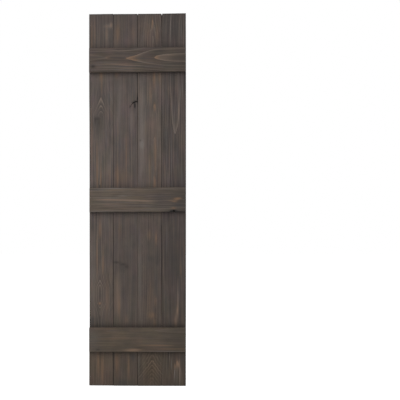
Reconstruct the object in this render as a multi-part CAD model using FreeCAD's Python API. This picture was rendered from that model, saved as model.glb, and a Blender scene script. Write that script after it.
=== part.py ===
"""Board and batten window shutter: four upright boards held together by three face battens.

Millimetres. The origin is the centre of the boards' back face, which lies against the wall.
X runs to the right seen from the street, Z is up, and the front faces -Y.
"""
import FreeCAD, Part
import math
import os

# Boards: dressed softwood, butted edge to edge
BOARD_COUNT = 4
BOARD_WIDTH = 88.9
BOARD_THICKNESS = 19.05
SHUTTER_HEIGHT = 1371.6

# Hand-sawn ends: how far each board, from the left, stops short of that height at its two corners
SHORT_AT_TOP = ((4.2, 2.9), (3.6, 3.0), (2.8, 2.0), (1.9, 0.4))
SHORT_AT_FOOT = ((4.0, 3.2), (2.6, 2.3), (1.9, 1.7), (1.7, 1.7))

# Battens: the same stock laid across the front, ends flush with the outer boards, two a little out of level
BATTEN_WIDTH = 88.9
BATTEN_THICKNESS = 19.05
BATTEN_INSET = 128.7
TOP_BATTEN_RISE = 3.9
MIDDLE_BATTEN_RISE = 3.0

# Planed arrises of the faces that show, and the sanded flat round the saw-cut ends
ARRIS_RADIUS = 1.6
END_EASE = 0.8

# Corners broken off where two boards meet at the top, by joint counted from the left
NICK_WIDTHS = {2: 1.8, 3: 5.0}
NICK_DEPTHS = {2: 12.0, 3: 7.5}

# Loose knot at the right edge of one board, with an open crack round its upper left side
LOOSE_KNOT_BOARD = 2
LOOSE_KNOT_FROM_TOP = 348.0
LOOSE_KNOT_RADIUS = 23.0
CRACK_WIDTH = 3.6
CRACK_WIDTH_HALFWAY = 2.2
CRACK_DEPTH = 9.0
CRACK_START = math.radians(-5)
CRACK_END = math.radians(82)

# Dead knot that has dropped out of the middle batten's lower front arris
KNOT_FROM_RIGHT_END = 44.0
KNOT_MOUTH_RADIUS = 6.2
KNOT_TIP_RADIUS = 2.6
KNOT_DEPTH = 11.0
KNOT_SLOPE = 0.75

# How far a cutting shape stands out of the wood
OVERRUN = 1.0

SHUTTER_WIDTH = BOARD_COUNT * BOARD_WIDTH
LEFT_SIDE = -SHUTTER_WIDTH / 2
TOP_END = SHUTTER_HEIGHT / 2
BOARD_FRONT = -BOARD_THICKNESS
BATTEN_FRONT = BOARD_FRONT - BATTEN_THICKNESS
OUTER_BATTEN_HEIGHT = TOP_END - BATTEN_INSET - BATTEN_WIDTH / 2


def point(x, y, z):
    return FreeCAD.Vector(x, y, z)


def prism(corners, along):
    """The solid that a flat outline sweeps out along a vector."""
    return Part.Face(Part.makePolygon(corners + corners[:1])).extrude(along)


def lies_at(edge, axis, place):
    """True where the whole edge lies in the plane axis = place."""
    box = edge.BoundBox
    low = getattr(box, axis + "Min")
    high = getattr(box, axis + "Max")
    return abs(low - place) < 1e-6 and abs(high - place) < 1e-6


def end_rims(solid):
    """The edges round both sawn ends of an upright board, apart from the ones on its back."""
    ends = [face for face in solid.Faces if abs(face.normalAt(0, 0).z) > 0.5]
    return [edge for face in ends for edge in face.Edges if not lies_at(edge, "Y", 0)]


def board(index):
    """One upright board, with its end rims sanded and its long front arrises planed round."""
    left = LEFT_SIDE + index * BOARD_WIDTH
    right = left + BOARD_WIDTH
    top_left, top_right = SHORT_AT_TOP[index % len(SHORT_AT_TOP)]
    foot_left, foot_right = SHORT_AT_FOOT[index % len(SHORT_AT_FOOT)]
    back = [
        point(left, 0, foot_left - TOP_END),
        point(right, 0, foot_right - TOP_END),
        point(right, 0, TOP_END - top_right),
        point(left, 0, TOP_END - top_left),
    ]
    blank = prism(back, point(0, BOARD_FRONT, 0))
    sanded = blank.makeChamfer(END_EASE, end_rims(blank))
    arrises = [
        edge for edge in sanded.Edges
        if lies_at(edge, "Y", BOARD_FRONT) and edge.BoundBox.ZLength > edge.BoundBox.XLength
    ]
    return sanded.makeFillet(ARRIS_RADIUS, arrises)


def nick(joint):
    """The wedge of wood missing at the top of a joint, right through the boards' thickness."""
    middle = LEFT_SIDE + joint * BOARD_WIDTH
    half = NICK_WIDTHS[joint] / 2
    mouth = [
        point(middle - half, OVERRUN, TOP_END),
        point(middle + half, OVERRUN, TOP_END),
        point(middle, OVERRUN, TOP_END - NICK_DEPTHS[joint]),
    ]
    return prism(mouth, point(0, BOARD_FRONT - 2 * OVERRUN, 0))


def loose_knot_crack():
    """The crescent of a crack round a loose knot, widest at the board's edge and closed at its far end."""
    edge_of_board = LEFT_SIDE + LOOSE_KNOT_BOARD * BOARD_WIDTH
    middle = point(edge_of_board, BOARD_FRONT - OVERRUN, TOP_END - LOOSE_KNOT_FROM_TOP)

    def rims(turn, width):
        """The crack's two sides, a width apart, at a turn to the left from straight above the knot."""
        way = point(-math.sin(turn), 0, math.cos(turn))
        return [middle + way * (LOOSE_KNOT_RADIUS + side * width / 2) for side in (1, -1)]

    outer_start, inner_start = rims(CRACK_START, CRACK_WIDTH)
    outer_halfway, inner_halfway = rims((CRACK_START + CRACK_END) / 2, CRACK_WIDTH_HALFWAY)
    tip, _ = rims(CRACK_END, 0)
    outer = Part.Arc(outer_start, outer_halfway, tip)
    inner = Part.Arc(tip, inner_halfway, inner_start)
    mouth = Part.LineSegment(inner_start, outer_start)
    outline = Part.Wire([curve.toShape() for curve in (outer, inner, mouth)])
    return Part.Face(outline).extrude(point(0, CRACK_DEPTH + OVERRUN, 0))


def batten(height, rise=0.0):
    """One batten centred at a height. Its right end stands higher than its left by the rise."""
    half = BATTEN_WIDTH / 2
    right_side = LEFT_SIDE + SHUTTER_WIDTH
    back = [
        point(LEFT_SIDE, BOARD_FRONT, height - half - rise / 2),
        point(right_side, BOARD_FRONT, height - half + rise / 2),
        point(right_side, BOARD_FRONT, height + half + rise / 2),
        point(LEFT_SIDE, BOARD_FRONT, height + half - rise / 2),
    ]
    blank = prism(back, point(0, -BATTEN_THICKNESS, 0))
    front_arrises = [edge for edge in blank.Edges if lies_at(edge, "Y", BATTEN_FRONT)]
    return blank.makeFillet(ARRIS_RADIUS, front_arrises)


def dropped_knot():
    """The tapered branch stub that left its hole in the middle batten's lower front arris."""
    across = LEFT_SIDE + SHUTTER_WIDTH - KNOT_FROM_RIGHT_END
    lower_edge = -BATTEN_WIDTH / 2 + MIDDLE_BATTEN_RISE * across / SHUTTER_WIDTH
    outward = point(0, -1, -KNOT_SLOPE).normalize()
    mouth = point(across, BATTEN_FRONT, lower_edge) + outward * KNOT_MOUTH_RADIUS
    tip = mouth - outward * (KNOT_DEPTH + KNOT_MOUTH_RADIUS)
    return Part.makeCone(KNOT_TIP_RADIUS, KNOT_MOUTH_RADIUS, KNOT_DEPTH + KNOT_MOUTH_RADIUS, tip, outward)


def shutter():
    """Every piece of the shutter by name."""
    pieces = {}
    for index in range(BOARD_COUNT):
        pieces[f"board_{index + 1}"] = board(index)
    broken_joints = [joint for joint in range(1, BOARD_COUNT) if joint in NICK_DEPTHS]
    for joint in broken_joints:
        for number in (joint, joint + 1):
            name = f"board_{number}"
            pieces[name] = pieces[name].cut(nick(joint))
    cracked = f"board_{LOOSE_KNOT_BOARD}"
    pieces[cracked] = pieces[cracked].cut(loose_knot_crack())
    pieces["batten_top"] = batten(OUTER_BATTEN_HEIGHT, TOP_BATTEN_RISE)
    pieces["batten_middle"] = batten(0.0, MIDDLE_BATTEN_RISE).cut(dropped_knot())
    pieces["batten_bottom"] = batten(-OUTER_BATTEN_HEIGHT)
    return pieces


os.makedirs("parts", exist_ok=True)
for name, shape in shutter().items():
    if not shape.isValid() or len(shape.Solids) != 1:
        raise ValueError(f"{name} is not one sound solid")
    shape.Solids[0].exportStep(f"parts/{name}.step")
    print(f"{name}: {shape.Volume / 1000:.1f} cm3")
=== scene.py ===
"""Dresses the board and batten shutter: stained softwood boards and battens, and the screws behind."""

import math
from typing import NamedTuple

import bpy
from bpy.props import FloatProperty, FloatVectorProperty, IntProperty, PointerProperty
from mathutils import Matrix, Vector


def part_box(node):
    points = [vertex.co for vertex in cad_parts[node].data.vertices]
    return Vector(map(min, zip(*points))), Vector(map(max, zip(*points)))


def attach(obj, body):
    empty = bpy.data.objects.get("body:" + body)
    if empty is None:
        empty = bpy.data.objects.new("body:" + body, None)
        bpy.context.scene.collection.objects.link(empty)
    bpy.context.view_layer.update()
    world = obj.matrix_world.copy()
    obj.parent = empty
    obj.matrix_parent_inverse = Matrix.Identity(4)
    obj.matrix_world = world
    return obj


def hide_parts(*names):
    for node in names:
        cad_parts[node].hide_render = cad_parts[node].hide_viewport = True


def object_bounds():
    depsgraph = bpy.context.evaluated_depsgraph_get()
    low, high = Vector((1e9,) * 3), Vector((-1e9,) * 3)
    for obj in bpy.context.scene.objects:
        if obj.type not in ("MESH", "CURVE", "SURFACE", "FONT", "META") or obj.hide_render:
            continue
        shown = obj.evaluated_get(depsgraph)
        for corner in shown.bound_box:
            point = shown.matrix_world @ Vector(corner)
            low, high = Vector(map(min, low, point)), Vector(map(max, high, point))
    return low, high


bl_info = {
    "name": "Board and Batten Shutter",
    "version": (1, 0, 0),
    "blender": (4, 5, 0),
    "location": "3D View > Sidebar > Shutter",
    "description": "Dresses a board and batten window shutter in stained softwood",
    "category": "Object",
}

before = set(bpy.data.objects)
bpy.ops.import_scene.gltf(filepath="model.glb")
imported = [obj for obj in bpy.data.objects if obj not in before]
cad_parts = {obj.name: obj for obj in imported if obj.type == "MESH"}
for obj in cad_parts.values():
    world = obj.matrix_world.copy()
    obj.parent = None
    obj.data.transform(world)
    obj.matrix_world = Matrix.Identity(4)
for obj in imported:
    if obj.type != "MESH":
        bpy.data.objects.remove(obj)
CAD_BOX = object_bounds()
BODY = "root"
MM = 0.001

# Places read from the frame, in metres
BOARDS = ("board_1", "board_2", "board_3", "board_4")
BATTENS = ("batten_top", "batten_middle", "batten_bottom")
BOARD_LOW, BOARD_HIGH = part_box("board_1")
LEVEL_LOW, LEVEL_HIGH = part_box("batten_bottom")
BOARD_WIDTH = BOARD_HIGH.x - BOARD_LOW.x
BATTEN_WIDTH = LEVEL_HIGH.z - LEVEL_LOW.z
BATTEN_PITCH = -(LEVEL_LOW.z + LEVEL_HIGH.z) / 2


def rise(node):
    """How much higher a batten's right end stands than its left."""
    low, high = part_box(node)
    return high.z - low.z - BATTEN_WIDTH


def screen(red, green, blue):
    """A colour as it reads on screen, 0 to 255, turned into the linear numbers that materials take."""
    def linear(value):
        share = value / 255
        return share / 12.92 if share <= 0.04045 else ((share + 0.055) / 1.055) ** 2.4
    return tuple(linear(value) for value in (red, green, blue))


class Mark(NamedTuple):
    """A soft-edged patch on the front, in millimetres, and how strongly it shows at its middle."""
    x: float
    z: float
    half_x: float
    half_z: float
    strength: float


def marks(*rows):
    """Marks from rows of their numbers."""
    return tuple(Mark(*row) for row in rows)


class Figure(NamedTuple):
    """How a piece was sawn from its log, and the marks that set it apart, a few of them painted shade and
    painted highlights.

    The pith runs behind the front at a depth, and beside the piece's middle line, that change along it.
    A profile lists places along the piece, in millimetres, each with the value there.
    """
    ground: tuple
    ring_gap: float
    line_width: float
    crest_slope: float | tuple
    crest_round: float
    ripple: float
    lines: float
    seed: float
    pith_depths: tuple
    pith_sides: tuple
    streaks: float | tuple = 1.0
    crowding: float = 0.0
    tan: tuple = ()
    crests: tuple = ()
    amber: tuple = ()
    brown: tuple = ()
    pale: tuple = ()
    slate: tuple = ()
    dark: tuple = ()


FIGURES = {
    "board_1": Figure(
        ground=screen(90, 80.5, 75.5), ring_gap=4.2, line_width=1.3, crest_round=5.0, ripple=0.5,
        lines=0.45, seed=11.0,
        crest_slope=((-686, 0.75), (230, 0.75), (310, 0.48), (375, 0.48), (440, 0.75), (686, 0.75)),
        pith_depths=(
            (-686, 24), (-430, 17), (-385, 9), (-345, 5), (-312, 8.4), (-293, 12.6), (-200, 17), (-60, 17),
            (100, 10.8), (240, 9.6), (300, 9.2), (325, 12.6), (347, 16.8), (375, 21), (405, 23), (686, 24),
        ),
        pith_sides=((-686, -6), (-340, -5), (100, -6), (330, -1), (686, -4)),
        tan=marks(
            (-110, 637, 13, 5, 0.25), (-168, 592, 4, 60, 0.35), (-157, 612, 3, 45, 0.3),
            (-97, 641, 4, 8, 0.5), (-113, 606, 4, 28, 0.35), (-134, 460, 6, 20, 0.55),
            (-132, 425, 3, 38, 0.35), (-168, 240, 3, 110, 0.3), (-148, 110, 3, 72, 0.75),
            (-135, 85, 3, 45, 0.6), (-138, -108, 5, 32, 0.6), (-149, -205, 2.4, 62, 0.65),
            (-127, -232, 2.4, 38, 0.65), (-139, -381, 5, 4, 0.8), (-112, -350, 7, 55, 0.3),
            (-168, -315, 4, 26, 0.25), (-144, -596, 5, 45, 0.5), (-129, -618, 5, 48, 0.45),
            (-133, -620, 40, 60, 0.18),
        ),
        crests=marks(
            (-134, 352, 11, 30, 2.0), (-134, 365, 44, 110, -0.35), (-139, -335, 14, 50, 1.3),
            (-137, 90, 10, 60, 0.5),
        ),
        pale=marks(
            (-107, 637, 15, 9, 0.38), (-98, 641, 4, 8, 0.5), (-112, 600, 6, 28, 0.3),
            (-108, 370, 12, 90, 0.1), (-164, -290, 10, 110, 0.3),
        ),
        slate=marks(
            (-144, 252, 9, 18, 0.5), (-141, 70, 4, 35, 0.4), (-118, -190, 8, 25, 0.35),
            (-170, -447, 10, 20, 0.95), (-152, -442, 20, 16, 0.4), (-122, 660, 12, 28, 0.2),
            (-134, 345, 18, 55, 0.8), (-133, 630, 44, 70, 0.25), (-148, 282, 15, 20, 0.25),
        ),
        dark=marks(
            (-155, 290, 5, 13, 0.45), (-142, 284, 5, 16, 0.5), (-148, 298, 10, 6, 0.35),
            (-134, 337, 3.5, 4, 0.22),
        ),
    ),
    "board_2": Figure(
        ground=screen(86, 76.5, 72.5), ring_gap=3.1, line_width=1.0, crest_slope=1.0, crest_round=20.0,
        ripple=0.4, lines=0.4, seed=23.0,
        streaks=((-686, 0.9), (-450, 0.65), (-100, 0.65), (100, 0.8), (430, 0.75), (686, 0.5)),
        pith_depths=((-686, 30), (0, 36), (686, 30)),
        pith_sides=((-686, 58), (0, 66), (686, 60)),
        tan=marks(
            (-73, 612, 8, 32, 0.5), (-16, 612, 9, 24, 0.25), (-77, 462, 7, 16, 0.4),
            (-41, 165, 3.5, 90, 0.4), (-76, 90, 8, 35, 0.35), (-72, 85, 2, 40, 0.4),
            (-54, 80, 26, 30, 0.2), (-68, -112, 6, 40, 0.2), (-75, -345, 11, 72, 0.3),
            (-68, -390, 5, 40, 0.4), (-40, -445, 6, 20, 0.25), (-76, -600, 8, 38, 0.5),
            (-33, -615, 3.5, 32, 0.55),
        ),
        pale=marks((-67, 340, 6, 80, 0.35), (-22, 280, 7, 45, 0.3), (-73, -350, 12, 70, 0.3)),
        slate=marks(
            (-28, 645, 22, 30, 0.35), (-52, 150, 6, 90, 0.35), (-87, 222, 4, 22, 0.45),
            (-10, 130, 6, 60, 0.25), (-13, -165, 10, 18, 0.5), (-60, -250, 24, 12, 0.4),
            (-16, -578, 13, 18, 0.85), (-55, -674, 26, 14, 0.8), (-12, 330, 8, 10, 0.4),
            (-45, -210, 40, 110, 0.28),
        ),
        dark=marks(
            # The marks at (-8, 361), (-16, 357), (-28, 341) and (-9.9, 346) paint shade in and below the
            # crack
            (0, 371.5, 3, 12, 1.1), (-8, 361, 6, 4, 0.9), (-16, 357, 6, 4, 0.75), (-28, 341, 3, 7, 0.45),
            (-9.9, 346, 3.2, 9, 1.7), (-78, -230, 13, 4.6, 0.55), (-54, -237, 12, 4.6, 0.55),
            (-40, -246, 7, 6, 0.45),
        ),
    ),
    "board_3": Figure(
        ground=screen(90, 79, 73), ring_gap=3.4, line_width=0.9, crest_round=4.0, ripple=2.4, lines=0.4,
        seed=37.0,
        crest_slope=((-686, 0.31), (-540, 0.31), (-420, 0.4), (686, 0.4)),
        pith_depths=(
            (-686, 3), (-667, 6.8), (-638, 13.6), (-607, 20.4), (-590, 23.8), (-568, 27.2), (-545, 30),
            (-500, 33), (-300, 32.8), (-100, 31.3), (47, 31.8), (179, 32.6), (236, 34), (327, 35.7),
            (353, 37.4), (380, 38.3), (467, 38.8), (560, 33.4), (640, 36.3), (663, 37.4), (686, 38.8),
        ),
        pith_sides=((-686, 6.2), (-560, 10), (60, 18), (460, 17), (663, 12), (686, 12)),
        tan=marks(
            (55, 650, 3, 20, 0.75), (72, 610, 7, 35, 0.3), (38, 610, 10, 40, 0.25), (61, 447, 4, 32, 0.75),
            (80, 455, 4, 18, 0.4), (63, 342, 4, 14, 0.75), (49, 390, 6, 32, 0.3), (65, 185, 5, 42, 0.55),
            (65, 125, 3, 30, 0.35), (63, 62, 4, 22, 0.9), (45, 110, 4, 50, 0.3), (79, 85, 5, 40, 0.2),
            (43, -128, 7, 16, 0.3), (68, -140, 3.5, 24, 0.55), (47, -370, 12, 90, 0.2),
            (66, -375, 5, 20, 0.4), (53, -425, 14, 12, 0.42), (63, -452, 5, 16, 0.4),
        ),
        crests=marks(
            (57, 615, 12, 45, 0.9), (63, 300, 9, 60, 0.6), (64, 150, 8, 90, 0.6), (60, -618, 20, 62, 0.45),
            (40, -590, 14, 30, 0.3),
        ),
        amber=marks((53, -620, 30, 70, 0.5)),
        brown=marks((57, -630, 30, 75, 0.4), (62, 448, 18, 24, 0.35)),
        pale=marks(
            (16, 240, 13, 160, 0.6), (16, 203, 8, 14, 0.6), (9, -290, 7, 150, 0.3), (5, -600, 3, 40, 0.3),
        ),
        slate=marks(
            (45, -215, 14, 12, 0.4), (76, -230, 6, 12, 0.3), (45, -260, 45, 170, 0.4),
            (45, -440, 45, 40, 0.25), (45, 620, 44, 70, 0.12),
        ),
        dark=marks((10, 218, 4, 4, 0.35), (0, 371.5, 2.2, 12, 1.0)),
    ),
    "board_4": Figure(
        ground=screen(74, 65.5, 62), ring_gap=10.0, line_width=1.1, crest_slope=1.0, crest_round=30.0,
        ripple=0.3, lines=0.4, seed=53.0,
        streaks=((-686, 1.2), (-480, 1.0), (-350, 0.8), (-80, 0.8), (60, 1.3), (686, 1.45)),
        pith_depths=(
            (-686, 24), (-647, 26), (-591, 30), (-540, 31.5), (-300, 33), (0, 33), (200, 31.5), (242, 30),
            (300, 27.6), (370, 26.1), (430, 25.5), (686, 25),
        ),
        pith_sides=(
            (-686, 14), (-560, 14), (0, 6), (242, 5.6), (300, 5.6), (370, 4.6), (430, 2.6), (572, 2.6),
            (686, 9.6),
        ),
        tan=marks(
            (152, 322, 2, 30, 0.45), (171, -185, 3, 20, 0.2), (159, -260, 3.5, 22, 0.35),
            (147.5, -390, 3, 50, 0.4), (146, -406, 3.4, 17, 0.7), (140, -444, 4.5, 22, 0.6),
            (137, -611, 2.8, 9, 0.8), (145.5, -602, 3, 13, 0.8), (152.5, -603, 3, 13, 0.7),
            (155, -645, 2, 28, 0.4),
        ),
        crests=marks((139, 330, 30, 130, 1.1), (139, 630, 30, 80, 0.9), (148, -640, 15, 45, 0.4)),
        pale=marks(
            (121, 630, 1.6, 45, 0.6), (160, 625, 1.6, 45, 0.6), (125, 150, 1.6, 60, 0.35),
            (152, 325, 2.4, 34, 0.9), (157, 385, 2.2, 34, 0.55), (165, 415, 1.4, 24, 0.4),
            (148.5, -365, 2, 42, 0.7), (146, -408, 3.2, 20, 0.5), (141, -440, 4, 20, 0.35),
            (117, -578, 1.4, 20, 0.5), (124.5, -606, 1.6, 18, 0.5), (136.5, -640, 1.6, 26, 0.8),
            (155.5, -646, 2, 32, 0.7), (145, -650, 1.4, 30, 0.35), (150, -600, 4, 9, 0.45),
        ),
        slate=marks(
            (142, 205, 9, 30, 0.4), (133, -240, 24, 80, 0.5), (100, -235, 6, 50, 0.35),
            (160, 60, 22, 18, 0.35), (165, -580, 12, 15, 0.5), (133, 630, 44, 80, 0.38),
            # (133, 442, 44, 20, 0.2) is painted shade just below the top batten
            (133, 655, 44, 50, 0.24), (133, 442, 44, 20, 0.2), (133, -420, 44, 50, 0.2),
        ),
    ),
    "batten_top": Figure(
        ground=screen(79.6, 69.4, 61), ring_gap=7.0, line_width=0.9, crest_slope=0.06, crest_round=2.0,
        ripple=0.25, lines=0.6, seed=67.0, crowding=0.006,
        streaks=((-178, 1.3), (-60, 1.2), (20, 1.0), (178, 0.9)),
        pith_depths=(
            (-178, 61.4), (-140, 62.2), (-104, 63), (-74, 63.3), (-43, 63), (64, 56), (82, 55),
            (104, 54.3), (130, 53.8), (178, 53.3),
        ),
        pith_sides=((-178, 8.5), (-104, 8.5), (-43, 5.5), (64, 7.4), (110, 5.8), (178, 5)),
        tan=marks(
            (-39, 518, 4, 3, 0.8), (70, 520.5, 8, 7, 0.15), (92, 522, 14, 8, 0.12), (-107, 521, 8, 4, 0.35),
        ),
        crests=marks(
            (10, 520, 60, 26, 1.0), (110, 527, 44, 10, 0.42), (92, 510, 26, 7, 0.3),
            (-140, 522, 40, 14, -0.35), (-60, 545, 90, 6, 0.5), (-60, 494, 70, 6, 1.35),
        ),
        brown=marks((175, 513, 36, 60, 0.8)),
        amber=marks(
            (-18, 518, 26, 16, 1.0), (70, 520, 12, 11, 0.8), (130, 520, 28, 16, 0.5),
            (-60, 494, 50, 6, 0.4),
        ),
        slate=marks((12, 519, 30, 8, 0.35), (-66, 519, 22, 9, 0.3), (180, 513, 60, 60, 0.5)),
        dark=marks((-162, 488, 9, 6, 0.8), (178, 513, 36, 60, 0.12)),
    ),
    "batten_middle": Figure(
        ground=screen(90, 79.5, 69), ring_gap=4.6, line_width=1.2, crest_slope=1.0, crest_round=20.0,
        ripple=0.4, lines=0.8, seed=83.0,
        streaks=((-178, 1.5), (60, 1.6), (120, 1.2), (178, 1.2)),
        pith_depths=((-178, 26), (0, 29), (178, 34)),
        pith_sides=((-178, 70), (178, 74)),
        tan=marks(
            (-100, 0.5, 50, 2.2, 0.75), (-20, -2.4, 55, 2, 0.8), (34, -4.6, 25, 2, 0.5),
            (144, 3, 10, 5, 1.0), (154, 6, 8, 3, 0.6), (136, -6, 8, 3, 0.7), (122, -3, 10, 2.5, 0.4),
            (133, -30, 9, 3.5, 0.6),
        ),
        brown=marks((170, -5, 36, 60, 0.9)),
        pale=marks(
            # The lines at heights 40 to 42 are painted highlights along the top arris
            (-83, 41, 40, 2, 0.6), (-110, 42, 70, 2, 0.35), (-55, 14, 18, 1.8, 0.6), (120, 40, 60, 2, 0.3),
            (-70, -40, 80, 2, 0.3), (-20, -2.4, 55, 2.2, 1.0), (-95, 6, 45, 2, 0.4),
            (-100, 0, 50, 14, 0.18), (-105, 0.5, 45, 2, 0.6), (34, -4.8, 26, 1.8, 0.6),
        ),
        slate=marks(
            (84, -8, 34, 30, 0.6), (150, -20, 25, 12, 0.5), (172, -5, 60, 60, 0.65),
            (60, 21, 70, 2.5, 0.35), (110, 13, 50, 2, 0.3),
        ),
        # The first is painted shade in and below the dropped knot's hole
        dark=marks((132.5, -43, 12, 6, 2.2), (156, -44, 24, 3, 0.9), (176, -5, 40, 60, 0.14)),
    ),
    "batten_bottom": Figure(
        ground=screen(94, 83, 72), ring_gap=5.4, line_width=1.8, crest_slope=1.0, crest_round=20.0,
        ripple=0.4, lines=0.2, seed=97.0, streaks=0.6,
        pith_depths=((-178, 40), (0, 34), (178, 30)),
        pith_sides=((-178, 30), (178, 36)),
        tan=marks(
            (-16, -550, 24, 4.5, 0.8), (-60, -507, 60, 4, 0.2), (70, -533, 50, 2, 0.45),
            (120, -546, 60, 2, 0.35),
        ),
        brown=marks((160, -512, 48, 60, 0.6)),
        # The line at height -556 is a painted highlight along the lower arris
        pale=marks((110, -556, 60, 2, 0.45), (-16, -550, 22, 4, 0.5), (-165, -510, 22, 40, 0.25)),
        slate=marks((-150, -548, 30, 8, 0.35), (150, -508, 64, 60, 0.4), (-178, -512, 26, 50, 0.3)),
        dark=marks((5, -542, 14, 1.5, 0.35), (-145, -549, 8, 3.4, 0.5)),
    ),
}

# How much light the wood gives back at heights in millimetres: darker towards both ends, most at the top, and
# painted shade in the dips just above and below the battens
HEIGHT_TONE_AND_SHADE = (
    (-686, 0.87), (-640, 0.935), (-560, 0.885), (-512, 0.94), (-465, 0.905), (-420, 0.93), (-300, 0.89),
    (-180, 0.905), (-90, 0.885), (0, 0.965), (100, 1.0), (400, 1.0), (432, 0.945), (455, 0.98),
    (475, 0.95), (540, 0.9), (620, 0.89), (660, 0.845), (686, 0.775),
)

# How far the stain has gone brown, from 0 to 1, at heights in millimetres
BROWNING = ((-686, 0.66), (-560, 0.58), (-440, 0.36), (-250, 0.16), (-100, 0.05), (100, 0.0), (686, 0.0))

# How open the joint to the right of each board is, from 0 to 1, at heights in millimetres
JOINTS = {
    1: ((-686, 0.9), (-470, 0.8), (-93, 0.7), (-50, 0.4), (50, 0.6), (180, 0.35), (300, 0.3), (460, 0.25),
        (580, 0.3), (640, 0.6), (686, 0.75)),
    2: ((-686, 0.8), (-560, 0.55), (-470, 0.1), (-370, 0.15), (-200, 0.3), (-60, 0.15), (50, 0.35),
        (180, 0.6), (340, 0.7), (358, 1.0), (388, 1.0), (402, 0.75), (460, 0.8), (600, 0.7), (686, 0.9)),
    3: ((-686, 0.5), (-610, 0.15), (-560, 0.05), (-450, 0.5), (-330, 0.8), (-200, 1.0), (-110, 0.95),
        (-60, 0.5), (50, 0.65), (200, 0.6), (450, 0.45), (590, 0.35), (640, 0.75), (686, 1.0)),
}

# The same for every long edge that has no joint
TIGHT = 0.35

# How far the outer edges fall back from a straight line, in millimetres, at heights in millimetres
STRAIGHT = 0.0
LEFT_EDGE = ((-686, 0.0), (-580, 0.1), (-500, 0.9), (-412, 1.4), (-320, 1.65), (-71, 1.6), (102, 1.35),
             (201, 1.2), (311, 0.75), (414, 0.1), (586, 0.0), (686, 0.0))
RIGHT_EDGE = ((-686, 0.5), (-592, 0.3), (-412, 0.05), (-230, 0.1), (0, 0.0), (414, 0.0), (586, 0.24),
              (686, 0.5))

# How far a board's sawn ends fall away from its right edge to its left
TOP_SLOPES = {"board_1": 1.3 * MM, "board_2": 0.6 * MM, "board_3": 0.8 * MM, "board_4": 1.5 * MM}
FOOT_SLOPES = {"board_1": 0.8 * MM, "board_2": 0.3 * MM, "board_3": 0.2 * MM, "board_4": 0.0}

# How far a batten's left end stops short
LEFT_TRIMS = {"batten_top": 1.0 * MM, "batten_middle": 2.5 * MM, "batten_bottom": 1.2 * MM}

# Broken corners at the tops of joints, as wide and as tall as x and z say
WHOLE_CORNER = (0.0, 0.0, 0.0)
NICKS = {2: (0.7 * MM, 0.0, 9.1 * MM), 3: (1.85 * MM, 0.0, 5.5 * MM)}

# The crack round the loose knot: its board, the height of its lower end, and its reach, depth and rise
CRACKED_BOARD = "board_2"
CRACK_HEIGHT = 337.8 * MM
CRACK_SIZE = (25.5 * MM, 9.0 * MM, 23.0 * MM)

# The batten that a knot has dropped out of
KNOTTY_BATTEN = "batten_middle"

# Shares of light lost to stain, and to painted shade at the edges, in the joints and around the battens
JOINT_STAIN_AND_SHADE = 0.62
RIM_STAIN_AND_SHADE = 0.56
OUTER_LEFT_SHADE = 0.24
OUTER_RIGHT_SHADE = 0.4
ARRIS_DARKENING = 0.08
CONTACT_SHADOW = 0.48
END_GRAIN_STAIN = 0.4
LEDGE_SHADES = {"batten_top": 0.16, "batten_middle": 0.05, "batten_bottom": 0.42}

# How far that reaches in millimetres, or where it starts to fade and is gone
CONTACT_REACH = 3.0
LEDGE_REACH = 13.0
ARRIS_BAND = (0.4, 3.4)
OUTER_BAND = (1.0, 9.0)
RIM_BAND = (-5.0, -0.5)
FRONT_BAND = (2.0, 9.0)
KNOT_BAND = (11.0, 17.0)

# What varies in the wood: its size across the grain, into it and along it, in millimetres
FIBRES = (1.1, 1.1, 60)
STREAKS = (5, 6, 170)
BROAD_STREAKS = (22, 25, 130)
BLOTCHES = (40, 40, 60)
FRAYED_ENDS = (2.4, 2.4, 70)
PITH_DRIFT = (200, 200, 260)
RING_WOBBLE = (14, 14, 110)
RING_RIPPLE = (7, 7, 16)

# How finely the noise of the fibres is broken up, and how strongly
FIBRE_DETAIL, FIBRE_GRIT = 3.0, 0.6

# How far the pith drifts, in millimetres, and how far marks, ring crests and knots fray, in half lengths
DRIFT = 4.0
FRAY = 2.4
CREST_FRAY = 0.5
KNOT_FRAY = 0.15

# Where each stain starts and is full, by noise or by height in millimetres, and its share there
UMBER_BAND, UMBER_SHARE = (0.5, 0.68), 0.5
STEEL_BAND, STEEL_SHARE = (0.5, 0.66), 0.6
PLUM_BAND, PLUM_SHARE = (430, 560), 0.3
END_GRAIN_BAND = (0.4, 0.8)

# How the latewood lines show: the faintest, and what a mark on the crests adds
FAINTEST_LINE = 0.08
CREST_GAIN = 0.75

# How much more the rings crowd on the lower side of the pith
LOWER_CROWDING = 0.5

# How much of the bare wood shows on latewood, on fibres and everywhere
BARE_LATE, BARE_FIBRE, BARE_LEAST = 0.5, 0.6, 0.3

# The dry surface of the wood
ROUGHNESS = 0.66
FIBRE_ROUGHNESS = 0.2
LATE_SMOOTHNESS = 0.08
SHEEN = 0.25
RELIEF = 0.4 * MM
RELIEF_STRENGTH = 0.35
FIBRE_HEIGHT, LATE_HEIGHT = 0.6, 0.5

# The zinc on the screws: where noise starts to dull it and has, and how rough that makes it
DULL_BAND = (0.4, 0.65)
ZINC_ROUGHNESS = 0.3
DULL_ROUGHNESS = 0.2


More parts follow.
